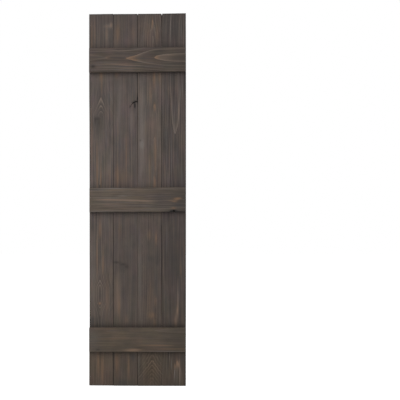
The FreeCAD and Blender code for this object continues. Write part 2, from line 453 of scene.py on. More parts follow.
class Wire:
    """A socket of a node tree. Sums and products of wires add Math nodes to the tree."""

    def __init__(self, sheet, socket):
        self.sheet = sheet
        self.socket = socket

    def math(self, operation, *others):
        return self.sheet.add("ShaderNodeMath", {"operation": operation}, dict(enumerate((self, *others))))

    def __add__(self, other):
        return self.math("ADD", other)

    def __sub__(self, other):
        return self.math("SUBTRACT", other)

    def __mul__(self, other):
        return self.math("MULTIPLY", other)

    def __truediv__(self, other):
        return self.math("DIVIDE", other)

    def __pow__(self, other):
        return self.math("POWER", other)

    def __neg__(self):
        return self.math("MULTIPLY", -1.0)

    def __abs__(self):
        return self.math("ABSOLUTE")

    __radd__ = __add__
    __rmul__ = __mul__

    def __rsub__(self, other):
        return self.sheet.add("ShaderNodeMath", {"operation": "SUBTRACT"}, {0: other, 1: self})

    def __rtruediv__(self, other):
        return self.sheet.add("ShaderNodeMath", {"operation": "DIVIDE"}, {0: other, 1: self})

    def split(self):
        """The x, y and z of a vector."""
        parts = self.sheet.add("ShaderNodeSeparateXYZ", {}, {0: self})
        return parts, parts.beside("Y"), parts.beside("Z")

    def beside(self, name):
        """Another output of the same node."""
        return Wire(self.sheet, self.socket.node.outputs[name])

    def between(self, low, high):
        """The value held between two limits."""
        return self.math("MAXIMUM", low).math("MINIMUM", high)

    def rises(self, start, end):
        """0 before start and 1 after end, with a smooth change between them."""
        values = {"Value": self, "From Min": start, "From Max": end}
        return self.sheet.add("ShaderNodeMapRange", {"interpolation_type": "SMOOTHSTEP"}, values)


class Sheet:
    """A node tree under construction."""

    def __init__(self, tree):
        self.tree = tree

    def add(self, kind, settings=None, values=None, give=0):
        """Adds a node of a type, with its settings set first, then the values or links of its sockets."""
        node = self.tree.nodes.new(kind)
        for key, value in (settings or {}).items():
            if key == "points":
                draw_curve(node.mapping, value)
            else:
                setattr(node, key, value)
        for key, value in (values or {}).items():
            for item in value if isinstance(value, list) else [value]:
                if isinstance(item, Wire):
                    self.tree.links.new(item.socket, node.inputs[key])
                else:
                    node.inputs[key].default_value = item
        return Wire(self, node.outputs[give]) if node.outputs else None

    def vector(self, x, y, z):
        return self.add("ShaderNodeCombineXYZ", {}, {"X": x, "Y": y, "Z": z})

    def vectors(self, operation, *values, give=0):
        """Vector Math on wires or on plain vectors."""
        return self.add("ShaderNodeVectorMath", {"operation": operation}, dict(enumerate(values)), give)

    def scaled(self, vector, amount):
        """A vector, or a colour, times a number."""
        return self.add("ShaderNodeVectorMath", {"operation": "SCALE"}, {0: vector, "Scale": amount})

    def noise(self, place, detail=2.0, roughness=0.5):
        """Noise from 0 to 1 with features about one unit of the place across."""
        values = {"Vector": place, "Scale": 1.0, "Detail": detail, "Roughness": roughness}
        return self.add("ShaderNodeTexNoise", {"noise_dimensions": "3D"}, values)

    def blend(self, first, second, share):
        """A colour part of the way from the first to the second, with the share held between 0 and 1."""
        first, second = (shade if isinstance(shade, Wire) else (*shade, 1.0) for shade in (first, second))
        settings = {"data_type": "RGBA", "clamp_factor": True}
        return self.add("ShaderNodeMix", settings, {0: share, 6: first, 7: second}, give=2)

    def profile(self, place, stops):
        """A value that passes smoothly through stops, each a place and the value there, or a steady one."""
        if not isinstance(stops, tuple):
            return stops
        (start, _), (end, _) = stops[0], stops[-1]
        values = [value for _, value in stops]
        floor, reach = min(values), max(values) - min(values) or 1.0
        points = [((spot - start) / (end - start), (value - floor) / reach) for spot, value in stops]
        share = (place - start) / (end - start)
        return self.add("ShaderNodeFloatCurve", {"points": points}, {"Value": share}) * reach + floor

    def moved(self, geometry, place=(0.0, 0.0, 0.0), turn=(0.0, 0.0, 0.0), scale=(1.0, 1.0, 1.0)):
        """Geometry that is scaled, turned and put in its place."""
        values = {"Geometry": geometry, "Translation": place, "Rotation": turn, "Scale": scale}
        return self.add("GeometryNodeTransform", {}, values)

    def cut(self, body, cutters):
        """A body with what the cutters overlap taken out."""
        settings = {"operation": "DIFFERENCE", "solver": "MANIFOLD"}
        return self.add("GeometryNodeMeshBoolean", settings, {"Mesh 1": body, "Mesh 2": cutters})

    def copied(self, points, instance, turns=(0.0, 0.0, 0.0)):
        """A real copy of the instance on every point."""
        values = {"Points": points, "Instance": instance, "Rotation": turns}
        copies = self.add("GeometryNodeInstanceOnPoints", {}, values)
        return self.add("GeometryNodeRealizeInstances", {}, {"Geometry": copies})


def draw_curve(mapping, points):
    """Gives a curve node its points. The node starts with two, which become the first and the last."""
    curve = mapping.curves[0]
    curve.points[0].location = points[0]
    curve.points[1].location = points[-1]
    for spot in points[1:-1]:
        curve.points.new(*spot)
    for point in curve.points:
        point.handle_type = "AUTO_CLAMPED"
    mapping.update()


def fading(squared):
    """1 at no distance, falling away smoothly as the square of the distance grows."""
    return (-squared).math("EXPONENT")


def blank_material(name):
    """A new material without nodes, and the sheet to draw them on."""
    material = bpy.data.materials.new(name)
    material.use_nodes = True
    material.node_tree.nodes.clear()
    return material, Sheet(material.node_tree)


class Grain:
    """Where a point of a piece lies: across the grain, along it and deep behind the front, in millimetres."""

    def __init__(self, sheet, node):
        low, high = (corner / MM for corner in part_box(node))
        x, y, z = sheet.scaled(sheet.add("ShaderNodeTexCoord", give="Object"), 1 / MM).split()
        self.sheet = sheet
        self.figure = FIGURES[node]
        self.upright = node in BOARDS
        self.across, self.along = (x, z) if self.upright else (z, x)
        self.height = z
        self.deep = y - low.y
        self.start, self.end = (low.z, high.z) if self.upright else (low.x, high.x)
        self.half = (BOARD_WIDTH if self.upright else BATTEN_WIDTH) / MM / 2
        self.middle = (low.x + high.x) / 2 if self.upright else (low.z + high.z) / 2
        self.beside = self.across - self.middle
        if not self.upright:
            self.beside = self.beside - self.along * (rise(node) / MM / (high.x - low.x))

    def noise(self, sizes, detail=2.0, roughness=0.5):
        """Noise from 0 to 1 with features of these sizes, other ones on each piece."""
        across, deep, along = sizes
        shifted = self.across / across + self.figure.seed
        place = self.sheet.vector(shifted, self.deep / deep, self.along / along)
        return self.sheet.noise(place, detail, roughness)

    def rings(self):
        """Counts growth rings out from the pith. Each whole number is the hard edge of one year's wood."""
        figure = self.figure
        drift = self.noise(PITH_DRIFT, detail=1.0) - 0.5
        wobble = self.noise(RING_WOBBLE) - 0.5
        ripple = (self.noise(RING_RIPPLE) - 0.5) * figure.ripple
        to_side = self.beside - self.sheet.profile(self.along, figure.pith_sides) + drift * DRIFT
        to_pith = self.deep + self.sheet.profile(self.along, figure.pith_depths)
        bent = (to_side * to_side + figure.crest_round ** 2).math("SQRT") - figure.crest_round
        slope = self.sheet.profile(self.along, figure.crest_slope)
        below = to_side.math("MINIMUM", 0.0)
        crowded_in = (to_side * to_side + below * below * LOWER_CROWDING) * figure.crowding
        return (to_pith + bent * slope + crowded_in + wobble + ripple) / figure.ring_gap

    def cover(self, patches, fray):
        """How strongly a set of marks covers a point. Fray moves their ends along the fibres."""
        shifted = self.sheet.vector(0.0, fray, 0.0)
        spot = self.sheet.vector(self.across, self.along, 0.0)
        total = 0.0
        for mark in patches:
            spots = (mark.x, mark.half_x), (mark.z, mark.half_z)
            (across, half_across), (along, half_along) = spots if self.upright else reversed(spots)
            scale = 1 / half_across, 1 / half_along, 0.0
            start = -across / half_across, -along / half_along, 0.0
            off = self.sheet.vectors("ADD", self.sheet.vectors("MULTIPLY_ADD", spot, scale, start), shifted)
            spread = self.sheet.vectors("DOT_PRODUCT", off, off, give="Value")
            total = fading(spread).math("MULTIPLY_ADD", mark.strength, total)
        return total

    def edge_stain_and_shade(self, node):
        """Stain and painted shade along the arrises, the joints, the end rims and the edges of the battens.
        """
        left = self.beside + self.half
        right = self.half - self.beside
        past_end = abs(self.along - (self.start + self.end) / 2) - (self.end - self.start) / 2
        # Darker rims at both ends: stain that the end grain takes, and painted shade
        stain = past_end.rises(*RIM_BAND) * RIM_STAIN_AND_SHADE
        if not self.upright:
            # The battens are a little darker along their arrises
            arris = (1.0 - left.math("MINIMUM", right).rises(*ARRIS_BAND)) * ARRIS_DARKENING
            return arris.math("MAXIMUM", stain)
        number = BOARDS.index(node)
        # Stain pooled and painted shade in the joints, and painted shade along the outer edges
        for side, joint, outer in ((left, number, OUTER_LEFT_SHADE), (right, number + 1, OUTER_RIGHT_SHADE)):
            if joint in JOINTS:
                openness = self.sheet.profile(self.along, JOINTS[joint])
                pooled_and_shaded = (1.0 - side.rises(*ARRIS_BAND)) * openness * JOINT_STAIN_AND_SHADE
            else:
                pooled_and_shaded = (1.0 - side.rises(*OUTER_BAND)) * outer
            stain = stain.math("MAXIMUM", pooled_and_shaded)
        at_front = 1.0 - self.deep.rises(*FRONT_BAND)
        # Painted shade above each batten, and a painted contact shadow just below it
        for batten, ledge_shade in LEDGE_SHADES.items():
            low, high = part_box(batten)
            slope = rise(batten) / (high.x - low.x)
            off_middle = self.along - (low.z + high.z) / 2 / MM - self.across * slope
            above = (off_middle - BATTEN_WIDTH / 2 / MM) / LEDGE_REACH
            below = (off_middle + BATTEN_WIDTH / 2 / MM) / CONTACT_REACH
            stain = stain.math("MAXIMUM", fading(above * above) * at_front * ledge_shade)
            stain = stain.math("MAXIMUM", fading(below * below) * at_front * CONTACT_SHADOW)
        return stain


def stained_softwood(node, colours, contrast):
    """Stained softwood for one piece, with growth rings that run on through its edges and ends, and painted
    shade along its edges and around the battens.
    """
    material, sheet = blank_material(f"stained_softwood_{node}")
    grain = Grain(sheet, node)
    figure = grain.figure

    # Growth rings: a hard line of latewood ends each one, stronger in some years than in others
    rings = grain.rings()
    inside = 1.0 - rings.math("FRACT")
    late = (inside * (-figure.ring_gap / figure.line_width)).math("EXPONENT")
    year = rings.math("FLOOR") + figure.seed
    strong = sheet.add("ShaderNodeTexWhiteNoise", {"noise_dimensions": "1D"}, {"W": year}) ** 2

    # Fibres, streaks and the uneven take-up of the stain
    fibre = grain.noise(FIBRES, FIBRE_DETAIL, FIBRE_GRIT)
    streak = grain.noise(STREAKS)
    broad = grain.noise(BROAD_STREAKS)
    blotch = grain.noise(BLOTCHES)
    fray = (grain.noise(FRAYED_ENDS) - 0.5) * FRAY
    fine = (fibre - 0.5) * contrast.fibre + (streak - 0.5) * contrast.streak
    fine = fine * sheet.profile(grain.along, figure.streaks)
    tone = 1.0 + fine + (broad - 0.5) * contrast.broad + (blotch - 0.5) * contrast.blotch
    hues = streak.beside("Color").split()
    ground = sheet.blend(figure.ground, colours.umber, hues[0].rises(*UMBER_BAND) * UMBER_SHARE)
    ground = sheet.blend(ground, colours.steel, hues[1].rises(*STEEL_BAND) * STEEL_SHARE)
    browned = sheet.profile(grain.height, BROWNING) + grain.cover(figure.brown, fray)
    ground = sheet.blend(ground, colours.foot, browned)
    ground = sheet.blend(ground, colours.plum, grain.height.rises(*PLUM_BAND) * PLUM_SHARE)
    drift = (contrast.cast,) * 3
    least = (1.0 - contrast.cast / 2,) * 3
    casts = sheet.vectors("MULTIPLY_ADD", blotch.beside("Color"), drift, least)
    # A tone by height, with painted shade just above and below the battens
    wood = sheet.scaled(sheet.vectors("MULTIPLY", ground, casts), tone * sheet.profile(grain.height, HEIGHT_TONE_AND_SHADE))

    # Marks that set the piece apart, with painted shade among the slate and dark marks and painted highlights
    # among the pale ones
    wood = sheet.blend(wood, colours.slate, grain.cover(figure.slate, fray))
    wood = sheet.blend(wood, colours.pale, grain.cover(figure.pale, fray))
    crests = grain.cover(figure.crests, fray * CREST_FRAY) * CREST_GAIN
    hard = sheet.blend(colours.latewood, colours.sapwood, grain.cover(figure.amber, fray * CREST_FRAY))
    wood = sheet.blend(wood, hard, late * (strong * figure.lines + FAINTEST_LINE + crests))
    sapwood = grain.cover(figure.tan, fray) * (late * BARE_LATE + fibre * BARE_FIBRE + BARE_LEAST)
    wood = sheet.blend(wood, colours.sapwood, sapwood)
    # Knots and resin, and painted shade in the crack and in the dropped knot's hole
    knots_and_shade = grain.cover(figure.dark, fray * KNOT_FRAY) * (1.0 - grain.deep.rises(*KNOT_BAND))
    wood = sheet.blend(wood, colours.knot, knots_and_shade)

    # The saw-cut ends drink the stain in
    normal = sheet.add("ShaderNodeNewGeometry", give="Normal").split()
    facing_end = abs(normal[2] if grain.upright else normal[0])
    end_grain = facing_end.rises(*END_GRAIN_BAND) * END_GRAIN_STAIN
    # Stain on the ends, and stain and painted shade along the edges, the joints and the battens
    wood = sheet.scaled(wood, 1.0 - grain.edge_stain_and_shade(node).math("MAXIMUM", end_grain))

    bump = sheet.add("ShaderNodeBump", {}, {
        "Strength": RELIEF_STRENGTH, "Distance": RELIEF,
        "Height": fibre * FIBRE_HEIGHT + late * LATE_HEIGHT,
    })
    roughness = ROUGHNESS + (fibre - 0.5) * FIBRE_ROUGHNESS - late * LATE_SMOOTHNESS
    surface = sheet.add("ShaderNodeBsdfPrincipled", {}, {
        "Base Color": wood, "Roughness": roughness, "Normal": bump, "Specular IOR Level": SHEEN,
    })
    sheet.add("ShaderNodeOutputMaterial", {}, {"Surface": surface})
    return material


def zinc_plate(colours):
    """Yellow zinc on the screws, a little dulled."""
    material, sheet = blank_material("zinc_plated_steel")
    cloud = sheet.noise(sheet.scaled(sheet.add("ShaderNodeTexCoord", give="Object"), 1 / MM), detail=3.0)
    surface = sheet.add("ShaderNodeBsdfPrincipled", {}, {
        "Base Color": sheet.blend(colours.zinc, colours.dull_zinc, cloud.rises(*DULL_BAND)),
        "Roughness": ZINC_ROUGHNESS + cloud * DULL_ROUGHNESS, "Metallic": 1.0,
    })
    sheet.add("ShaderNodeOutputMaterial", {}, {"Surface": surface})
    return material


# Kinds of inputs that a tree takes
FLOAT = "NodeSocketFloat"
WHOLE = "NodeSocketInt"
VECTOR = "NodeSocketVector"
MATERIAL = "NodeSocketMaterial"

# Edges sharper than the angle stay crisp, lines of a mesh crowd towards its ends, and no divisor is less
QUARTER_TURN = math.pi / 2
CRISP_ANGLE = math.radians(32)
CROWDING = 0.85
LEAST = 1e-7

# How much an arris is rounded where a joint is shut, and how it wanders along the piece
SHUT_SHARE = 0.2
WANDER = 0.8
WANDERS_PER_METRE = 20
SIDE_SHIFT = 7.0

# Broken corners: how far in they pull the wood, and how ragged they are
NICK_REACH = 12 * MM
RAGS = 0.8
RAGS_PER_METRE = 400

# The dropped knot: how it leans, how ragged its hole is, and how finely it is drawn
KNOT_LEAN = math.atan2(0.8, 0.6)
KNOT_ROUGHNESS = 1.2 * MM
KNOT_RAGS = 4 * MM
KNOT_SEGMENTS = 8

# The crack: how much of a quarter oval it follows, how much of its girth it loses, and its sides
CRACK_SWEEP = 0.9
CRACK_TAPER = 0.5
CRACK_SIDES = 10

# Screws and round cutters
ROUND_SIDES = 24
TIP_SHARE = 0.25
SOCKET_OVERRUN = 0.01 * MM
RECESS_REACH = 1.2
SCREW_SEED = 5


def geometry_sheet(name, inputs):
    """A new Geometry Nodes tree with named inputs, and a wire from each of them."""
    tree = bpy.data.node_groups.new(name, "GeometryNodeTree")
    for label, kind in inputs:
        tree.interface.new_socket(label, in_out="INPUT", socket_type=kind)
    tree.interface.new_socket("Geometry", in_out="OUTPUT", socket_type="NodeSocketGeometry")
    sheet = Sheet(tree)
    source = sheet.add("NodeGroupInput")
    return sheet, {label: source.beside(label) for label, _ in inputs}


def close_sheet(sheet, geometry, material):
    """Ends a tree: real faces in place of instances, smooth shading with crisp corners, and the finish."""
    real = sheet.add("GeometryNodeRealizeInstances", {}, {"Geometry": geometry})
    smooth = sheet.add("GeometryNodeSetShadeSmooth", {"domain": "FACE"}, {0: real, "Shade Smooth": True})
    corner = sheet.add("GeometryNodeInputMeshEdgeAngle").math("GREATER_THAN", CRISP_ANGLE)
    crisp = sheet.add("GeometryNodeSetShadeSmooth", {"domain": "EDGE"}, {
        0: smooth, "Selection": corner, "Shade Smooth": False,
    })
    done = sheet.add("GeometryNodeSetMaterial", {}, {"Geometry": crisp, "Material": material})
    sheet.add("NodeGroupOutput", {}, {0: done})


def screw_spots(sheet, given):
    """Two staggered points at each crossing of a board with a batten, on the centre line of the board."""
    pitch, spread = given["Batten Pitch"], given["Screw Spread"]
    line = sheet.add("GeometryNodeMeshLine", {"mode": "OFFSET"}, {
        "Count": len(BATTENS), "Start Location": sheet.vector(0.0, 0.0, -pitch),
        "Offset": sheet.vector(0.0, 0.0, pitch),
    })
    sides = []
    for side in (-0.5, 0.5):
        away = sheet.vector(spread * side, 0.0, spread * side)
        sides.append(sheet.add("GeometryNodeSetPosition", {}, {"Geometry": line, "Offset": away}))
    return sheet.add("GeometryNodeJoinGeometry", {}, {0: sides})


def countersunk_cone(sheet, radius, tip, depth):
    """A cone with its mouth on the origin and its tip towards the front, as a screw head lies."""
    cone = sheet.add("GeometryNodeMeshCone", {}, {
        "Vertices": ROUND_SIDES, "Radius Top": tip, "Radius Bottom": radius, "Depth": depth,
    })
    return sheet.moved(cone, turn=(QUARTER_TURN, 0.0, 0.0))


def screw_sockets(sheet, given):
    """What is taken out of a board's back so that the screw heads lie below it."""
    radius, sink = given["Head Radius"], given["Head Sink"]
    cone = countersunk_cone(sheet, radius + sink, radius * TIP_SHARE, given["Head Depth"] + sink)
    at_back = sheet.moved(cone, sheet.vector(given["Place"].split()[0], SOCKET_OVERRUN, 0.0))
    return sheet.copied(screw_spots(sheet, given), at_back)


def loose_knot_crack(sheet, given):
    """The open crack beside a loose knot at a board's right edge: a tapered tube on part of an oval."""
    arc = sheet.add("GeometryNodeCurveArc", {"mode": "RADIUS"}, {
        "Resolution": ROUND_SIDES, "Radius": 1.0, "Start Angle": QUARTER_TURN,
        "Sweep Angle": QUARTER_TURN * CRACK_SWEEP,
    })
    reach, depth, up = given["Crack Size"].split()
    oval = sheet.moved(arc, turn=(QUARTER_TURN, 0.0, 0.0), scale=sheet.vector(reach, up, 1.0))
    ring = sheet.add("GeometryNodeCurvePrimitiveCircle", {"mode": "RADIUS"}, {
        "Resolution": CRACK_SIDES, "Radius": given["Crack Width"] * 0.5,
    })
    girth = 1.0 - sheet.add("GeometryNodeSplineParameter") * CRACK_TAPER
    tube = sheet.add("GeometryNodeCurveToMesh", {}, {
        "Curve": oval, "Profile Curve": ring, "Scale": girth, "Fill Caps": True,
    })
    deepened = sheet.vector(1.0, depth / given["Crack Width"], 1.0)
    return sheet.moved(tube, given["Crack Place"], scale=deepened)


def dropped_knot(sheet, given):
    """The ragged, tapered hole that a dropped knot leaves in a batten's lower front arris."""
    mouth = given["Knot Mouth"]
    cone = sheet.add("GeometryNodeMeshCone", {}, {
        "Vertices": ROUND_SIDES, "Side Segments": KNOT_SEGMENTS, "Radius Top": given["Knot Tip"],
        "Radius Bottom": mouth, "Depth": given["Knot Depth"] + mouth,
    })
    rags = sheet.noise(sheet.scaled(sheet.add("GeometryNodeInputPosition"), 1 / KNOT_RAGS)).beside("Color")
    offset = sheet.vectors("MULTIPLY_ADD", rags, (2 * KNOT_ROUGHNESS,) * 3, (-KNOT_ROUGHNESS,) * 3)
    ragged = sheet.add("GeometryNodeSetPosition", {}, {"Geometry": cone, "Offset": offset})
    through = sheet.moved(ragged, sheet.vector(0.0, 0.0, -mouth))
    return sheet.moved(through, given["Knot Place"], (-KNOT_LEAN, 0.0, 0.0))


TIMBER_INPUTS = (
    ("Width", FLOAT), ("Thickness", FLOAT), ("Length", FLOAT),
    ("Lines Across", WHOLE), ("Lines Through", WHOLE), ("Lines Along", WHOLE),
    ("Arris Radius", FLOAT), ("Back Radius", FLOAT), ("End Ease", FLOAT), ("Seed", FLOAT),
    ("Foot Trim", FLOAT), ("Top Slope", FLOAT), ("Foot Slope", FLOAT),
    ("Left Nick", VECTOR), ("Right Nick", VECTOR),
    ("Rise", FLOAT), ("Turn", FLOAT), ("Place", VECTOR), ("Material", MATERIAL),
)
SOCKET_INPUTS = (
    ("Batten Pitch", FLOAT), ("Screw Spread", FLOAT), ("Head Radius", FLOAT), ("Head Depth", FLOAT),
    ("Head Sink", FLOAT),
)
CRACK_INPUTS = (("Crack Place", VECTOR), ("Crack Size", VECTOR), ("Crack Width", FLOAT))
KNOT_INPUTS = (("Knot Place", VECTOR), ("Knot Mouth", FLOAT), ("Knot Tip", FLOAT), ("Knot Depth", FLOAT))
CUTTERS = {SOCKET_INPUTS: screw_sockets, CRACK_INPUTS: loose_knot_crack, KNOT_INPUTS: dropped_knot}


def crowded(share):
    """Moves evenly spread lines, from -0.5 to 0.5, towards both ends, where the arrises need them."""
    return share + (share * math.tau).math("SINE") * (CROWDING / math.tau)


def round_arrises(sheet, given, place, joints):
    """Rounds the long arrises, in front as much as the joint is open there, with a little wander."""
    u, v, s = place
    openness = [sheet.profile(s / MM, JOINTS.get(joint, TIGHT)) for joint in joints]
    at_right = u.math("GREATER_THAN", 0.0)
    at_front = v.math("LESS_THAN", 0.0)
    opened = openness[0] + (openness[1] - openness[0]) * at_right
    line = sheet.vector(s * WANDERS_PER_METRE, at_right * SIDE_SHIFT + given["Seed"], 0.0)
    wander = 1.0 + (sheet.noise(line, detail=3.0) - 0.5) * WANDER
    front_radius = given["Arris Radius"] * (opened + SHUT_SHARE) * wander
    arris = given["Back Radius"] + (front_radius - given["Back Radius"]) * at_front
    core_u = given["Width"] * 0.5 - arris
    core_v = given["Thickness"] * 0.5 - arris
    held_u = u.between(-core_u, core_u)
    held_v = v.between(-core_v, core_v)
    out_u = u - held_u
    out_v = v - held_v
    reach = (out_u * out_u + out_v * out_v).math("SQRT").math("MAXIMUM", LEAST)
    pull = abs(out_u).math("MAXIMUM", abs(out_v)) / reach
    return held_u + out_u * pull, held_v + out_v * pull


def ease_ends(given, u, v, s):
    """Sands the rims of both ends round."""
    ease = given["End Ease"]
    inside = 1.0 - ((given["Length"] * 0.5 - abs(s)) / ease).between(0.0, 1.0)
    inset = (1.0 - (1.0 - inside * inside).math("SQRT")) * ease
    return u - u / given["Width"] * inset * 2.0, v - v / given["Thickness"] * inset * 2.0


def break_corners(sheet, given, u, v, s):
    """Breaks the top corners, each as wide and as deep as its nick says."""
    below_top = given["Length"] * 0.5 - s
    rags = sheet.noise(sheet.vector(v * RAGS_PER_METRE, s * RAGS_PER_METRE, given["Seed"]))
    ragged = 1.0 + (rags - 0.5) * RAGS
    for sign, label in ((-1.0, "Left Nick"), (1.0, "Right Nick")):
        wide, _, tall = given[label].split()
        near = (u * sign - given["Width"] * 0.5 + NICK_REACH) / NICK_REACH
        open_here = 1.0 - (below_top / tall.math("MAXIMUM", LEAST)).between(0.0, 1.0)
        u = u - near.between(0.0, 1.0) * open_here * wide * ragged * sign
    return u


def saw_and_wear(sheet, given, u, s, edges):
    """Saws the ends a little out of square, and hollows the outer edges a little along their length."""
    to_left = 0.5 - u / given["Width"]
    upwards = s / given["Length"] + 0.5
    s = s - upwards * to_left * given["Top Slope"]
    s = s + (1.0 - upwards) * (to_left * given["Foot Slope"] + given["Foot Trim"])
    from_left, from_right = (sheet.profile(s / MM, edge) * MM for edge in edges)
    return u + to_left * from_left - (1.0 - to_left) * from_right, s


def timber_tree(name, joints=(None, None), edges=(STRAIGHT, STRAIGHT), cuts=()):
    """A dressed length of timber: u across, v through from the front, s along its length."""
    sheet, given = geometry_sheet(name, TIMBER_INPUTS + sum(cuts, ()))
    block = sheet.add("GeometryNodeMeshCube", {}, {
        "Size": (1.0, 1.0, 1.0), "Vertices X": given["Lines Across"],
        "Vertices Y": given["Lines Through"], "Vertices Z": given["Lines Along"],
    })
    spot = sheet.add("GeometryNodeInputPosition").split()
    sizes = given["Width"], given["Thickness"], given["Length"]
    u, v, s = (crowded(share) * size for share, size in zip(spot, sizes))
    u, v = round_arrises(sheet, given, (u, v, s), joints)
    u, v = ease_ends(given, u, v, s)
    u = break_corners(sheet, given, u, v, s)
    u, s = saw_and_wear(sheet, given, u, s, edges)

    # Battens lie on their side, and two of them climb a little along their length
    u = u - s / given["Length"] * given["Rise"]
    place = sheet.vector(u, v, s)
    shaped = sheet.add("GeometryNodeSetPosition", {}, {"Geometry": block, "Position": place})
    shaped = sheet.moved(shaped, given["Place"], sheet.vector(0.0, given["Turn"], 0.0))
    if cuts:
        shaped = sheet.cut(shaped, [CUTTERS[inputs](sheet, given) for inputs in cuts])
    close_sheet(sheet, shaped, given["Material"])
    return sheet.tree


SCREW_INPUTS = SOCKET_INPUTS + (
    ("Boards", WHOLE), ("Board Width", FLOAT), ("Recess Width", FLOAT), ("Recess Depth", FLOAT),
    ("Seed", WHOLE), ("Material", MATERIAL),
)


def screws_tree(name):
    """Flat-head screws with a cross recess, two at each crossing, each turned as it was driven."""
    sheet, given = geometry_sheet(name, SCREW_INPUTS)
    radius = given["Head Radius"]
    head = countersunk_cone(sheet, radius, radius * TIP_SHARE, given["Head Depth"])
    arm, narrow = radius * RECESS_REACH, given["Recess Width"]
    slots = []
    for wide, tall in ((arm, narrow), (narrow, arm)):
        size = sheet.vector(wide, given["Recess Depth"] * 2.0, tall)
        slots.append(sheet.add("GeometryNodeMeshCube", {}, {"Size": size}))
    sunk = sheet.moved(sheet.cut(head, slots), sheet.vector(0.0, -given["Head Sink"], 0.0))
    first = (given["Boards"] - 1.0) * given["Board Width"] * -0.5
    columns = sheet.add("GeometryNodeMeshLine", {"mode": "OFFSET"}, {
        "Count": given["Boards"], "Start Location": sheet.vector(first, 0.0, 0.0),
        "Offset": sheet.vector(given["Board Width"], 0.0, 0.0),
    })
    spots = sheet.copied(columns, screw_spots(sheet, given))
    turns = sheet.add("FunctionNodeRandomValue", {"data_type": "FLOAT_VECTOR"}, {
        0: (0.0, 0.0, 0.0), 1: (0.0, math.tau, 0.0), "Seed": given["Seed"],
    })
    close_sheet(sheet, sheet.copied(spots, sunk, turns), given["Material"])
    return sheet.tree


def grown(name, tree, values):
    """An object whose plain mesh is what the tree makes of these values."""
    piece = bpy.data.objects.new(name, bpy.data.meshes.new(name))
    bpy.context.scene.collection.objects.link(piece)
    maker = piece.modifiers.new("maker", "NODES")
    maker.node_group = tree
    for label, value in values.items():
        maker[tree.interface.items_tree[label].identifier] = value
    bpy.context.view_layer.update()
    seen = piece.evaluated_get(bpy.context.evaluated_depsgraph_get())
    mesh = bpy.data.meshes.new_from_object(seen)
    if not mesh.polygons:
        raise RuntimeError(f"{name} came out empty")
    piece.modifiers.remove(maker)
    piece.data = mesh
    mesh.name = name
    return piece


def settle(piece, slot, *nodes):
    """Hands a finished piece to the frame."""
    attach(piece, BODY)
    if nodes:
        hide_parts(*nodes)


def length(name, description, millimetres):
    """A property that holds a length."""
    return FloatProperty(name=name, description=description, default=millimetres * MM, unit="LENGTH")


def colour(name, description, *shade):
    """A property that holds a colour, given as it reads on screen."""
    return FloatVectorProperty(name=name, description=description, default=screen(*shade),
                               subtype="COLOR", size=3, min=0, max=1)


class ShutterSizes(bpy.types.PropertyGroup):
    """Sizes of the details that the boards and battens carry."""
    arris_radius: length("Arris radius", "Round on the front edges of an open joint", 1.7)
    back_radius: length("Back radius", "Round on the long back edges", 0.4)
    end_ease: length("End ease", "Sanded rim of the saw-cut ends", 0.8)
    crack_width: length("Crack width", "Widest part of the crack round the loose knot", 3.6)
    knot_from_end: length("Dropped knot place", "From the middle batten's right end", 44.0)
    knot_mouth: length("Dropped knot mouth", "Radius of the hole at the arris", 6.2)
    knot_tip: length("Dropped knot tip", "Radius of the hole at its bottom", 2.6)
    knot_depth: length("Dropped knot depth", "Depth of the hole from the arris", 11.0)
    head_radius: length("Screw head radius", "Radius of the flat screw heads", 4.2)
    head_depth: length("Screw head depth", "Depth of the countersunk head", 2.6)
    head_sink: length("Screw head sink", "How far the heads sit below the back", 0.5)
    recess_width: length("Recess width", "Width of the arms of the cross recess", 1.1)
    recess_depth: length("Recess depth", "Depth of the cross recess", 1.6)
    screw_spread: length("Screw spread", "Stagger of the two screws at a crossing", 42.0)
    lines_along: IntProperty(name="Lines along", description="Mesh lines along a board", default=300)
    lines_across: IntProperty(name="Lines across", description="Mesh lines across a piece", default=46)
    lines_through: IntProperty(name="Lines through", description="Mesh lines through a piece", default=12)


class StainColours(bpy.types.PropertyGroup):
    """Colours of the stained wood and the screws."""
    latewood: colour("Latewood", "Hard lines of the rings, which shed the stain", 120, 107, 97)
    sapwood: colour("Sapwood", "Bare tan wood that shows through the stain", 134, 104, 80)
    # Also painted as highlights along some batten arrises
    pale: colour("Pale", "Grey wood where the stain has worn thin", 114, 107, 102)
    umber: colour("Umber", "Warm brown where the stain sits thin", 88, 74, 65)
    # Also painted as shade just below the top batten on the fourth board
    steel: colour("Steel", "Cool grey of the stain", 79, 73, 72)
    slate: colour("Slate", "Dark grey where the stain sits heavy", 58, 54, 52)
    foot: colour("Foot", "Browner, darker stain towards the foot", 73, 62, 49)
    plum: colour("Plum", "Purplish stain towards the top", 81, 69, 65)
    # Also painted as shade in the crack and in the dropped knot's hole
    knot: colour("Knot", "Knots, cracks and resin", 30, 26, 24)
    zinc: colour("Zinc", "Yellow zinc on the screws", 196, 180, 132)
    dull_zinc: colour("Dull zinc", "Zinc that has gone grey", 150, 140, 118)


class StainContrast(bpy.types.PropertyGroup):
    """How unevenly the wood has taken the stain, by the size of what varies."""
    fibre: FloatProperty(name="Fibre", description="Contrast of single fibres", default=0.56)
    streak: FloatProperty(name="Streak", description="Contrast of narrow streaks", default=1.2)
    broad: FloatProperty(name="Broad", description="Contrast of broad streaks", default=0.7)
    blotch: FloatProperty(name="Blotch", description="Contrast of blotches", default=0.55)
    cast: FloatProperty(name="Cast", description="How far the hue drifts between blotches", default=0.22)


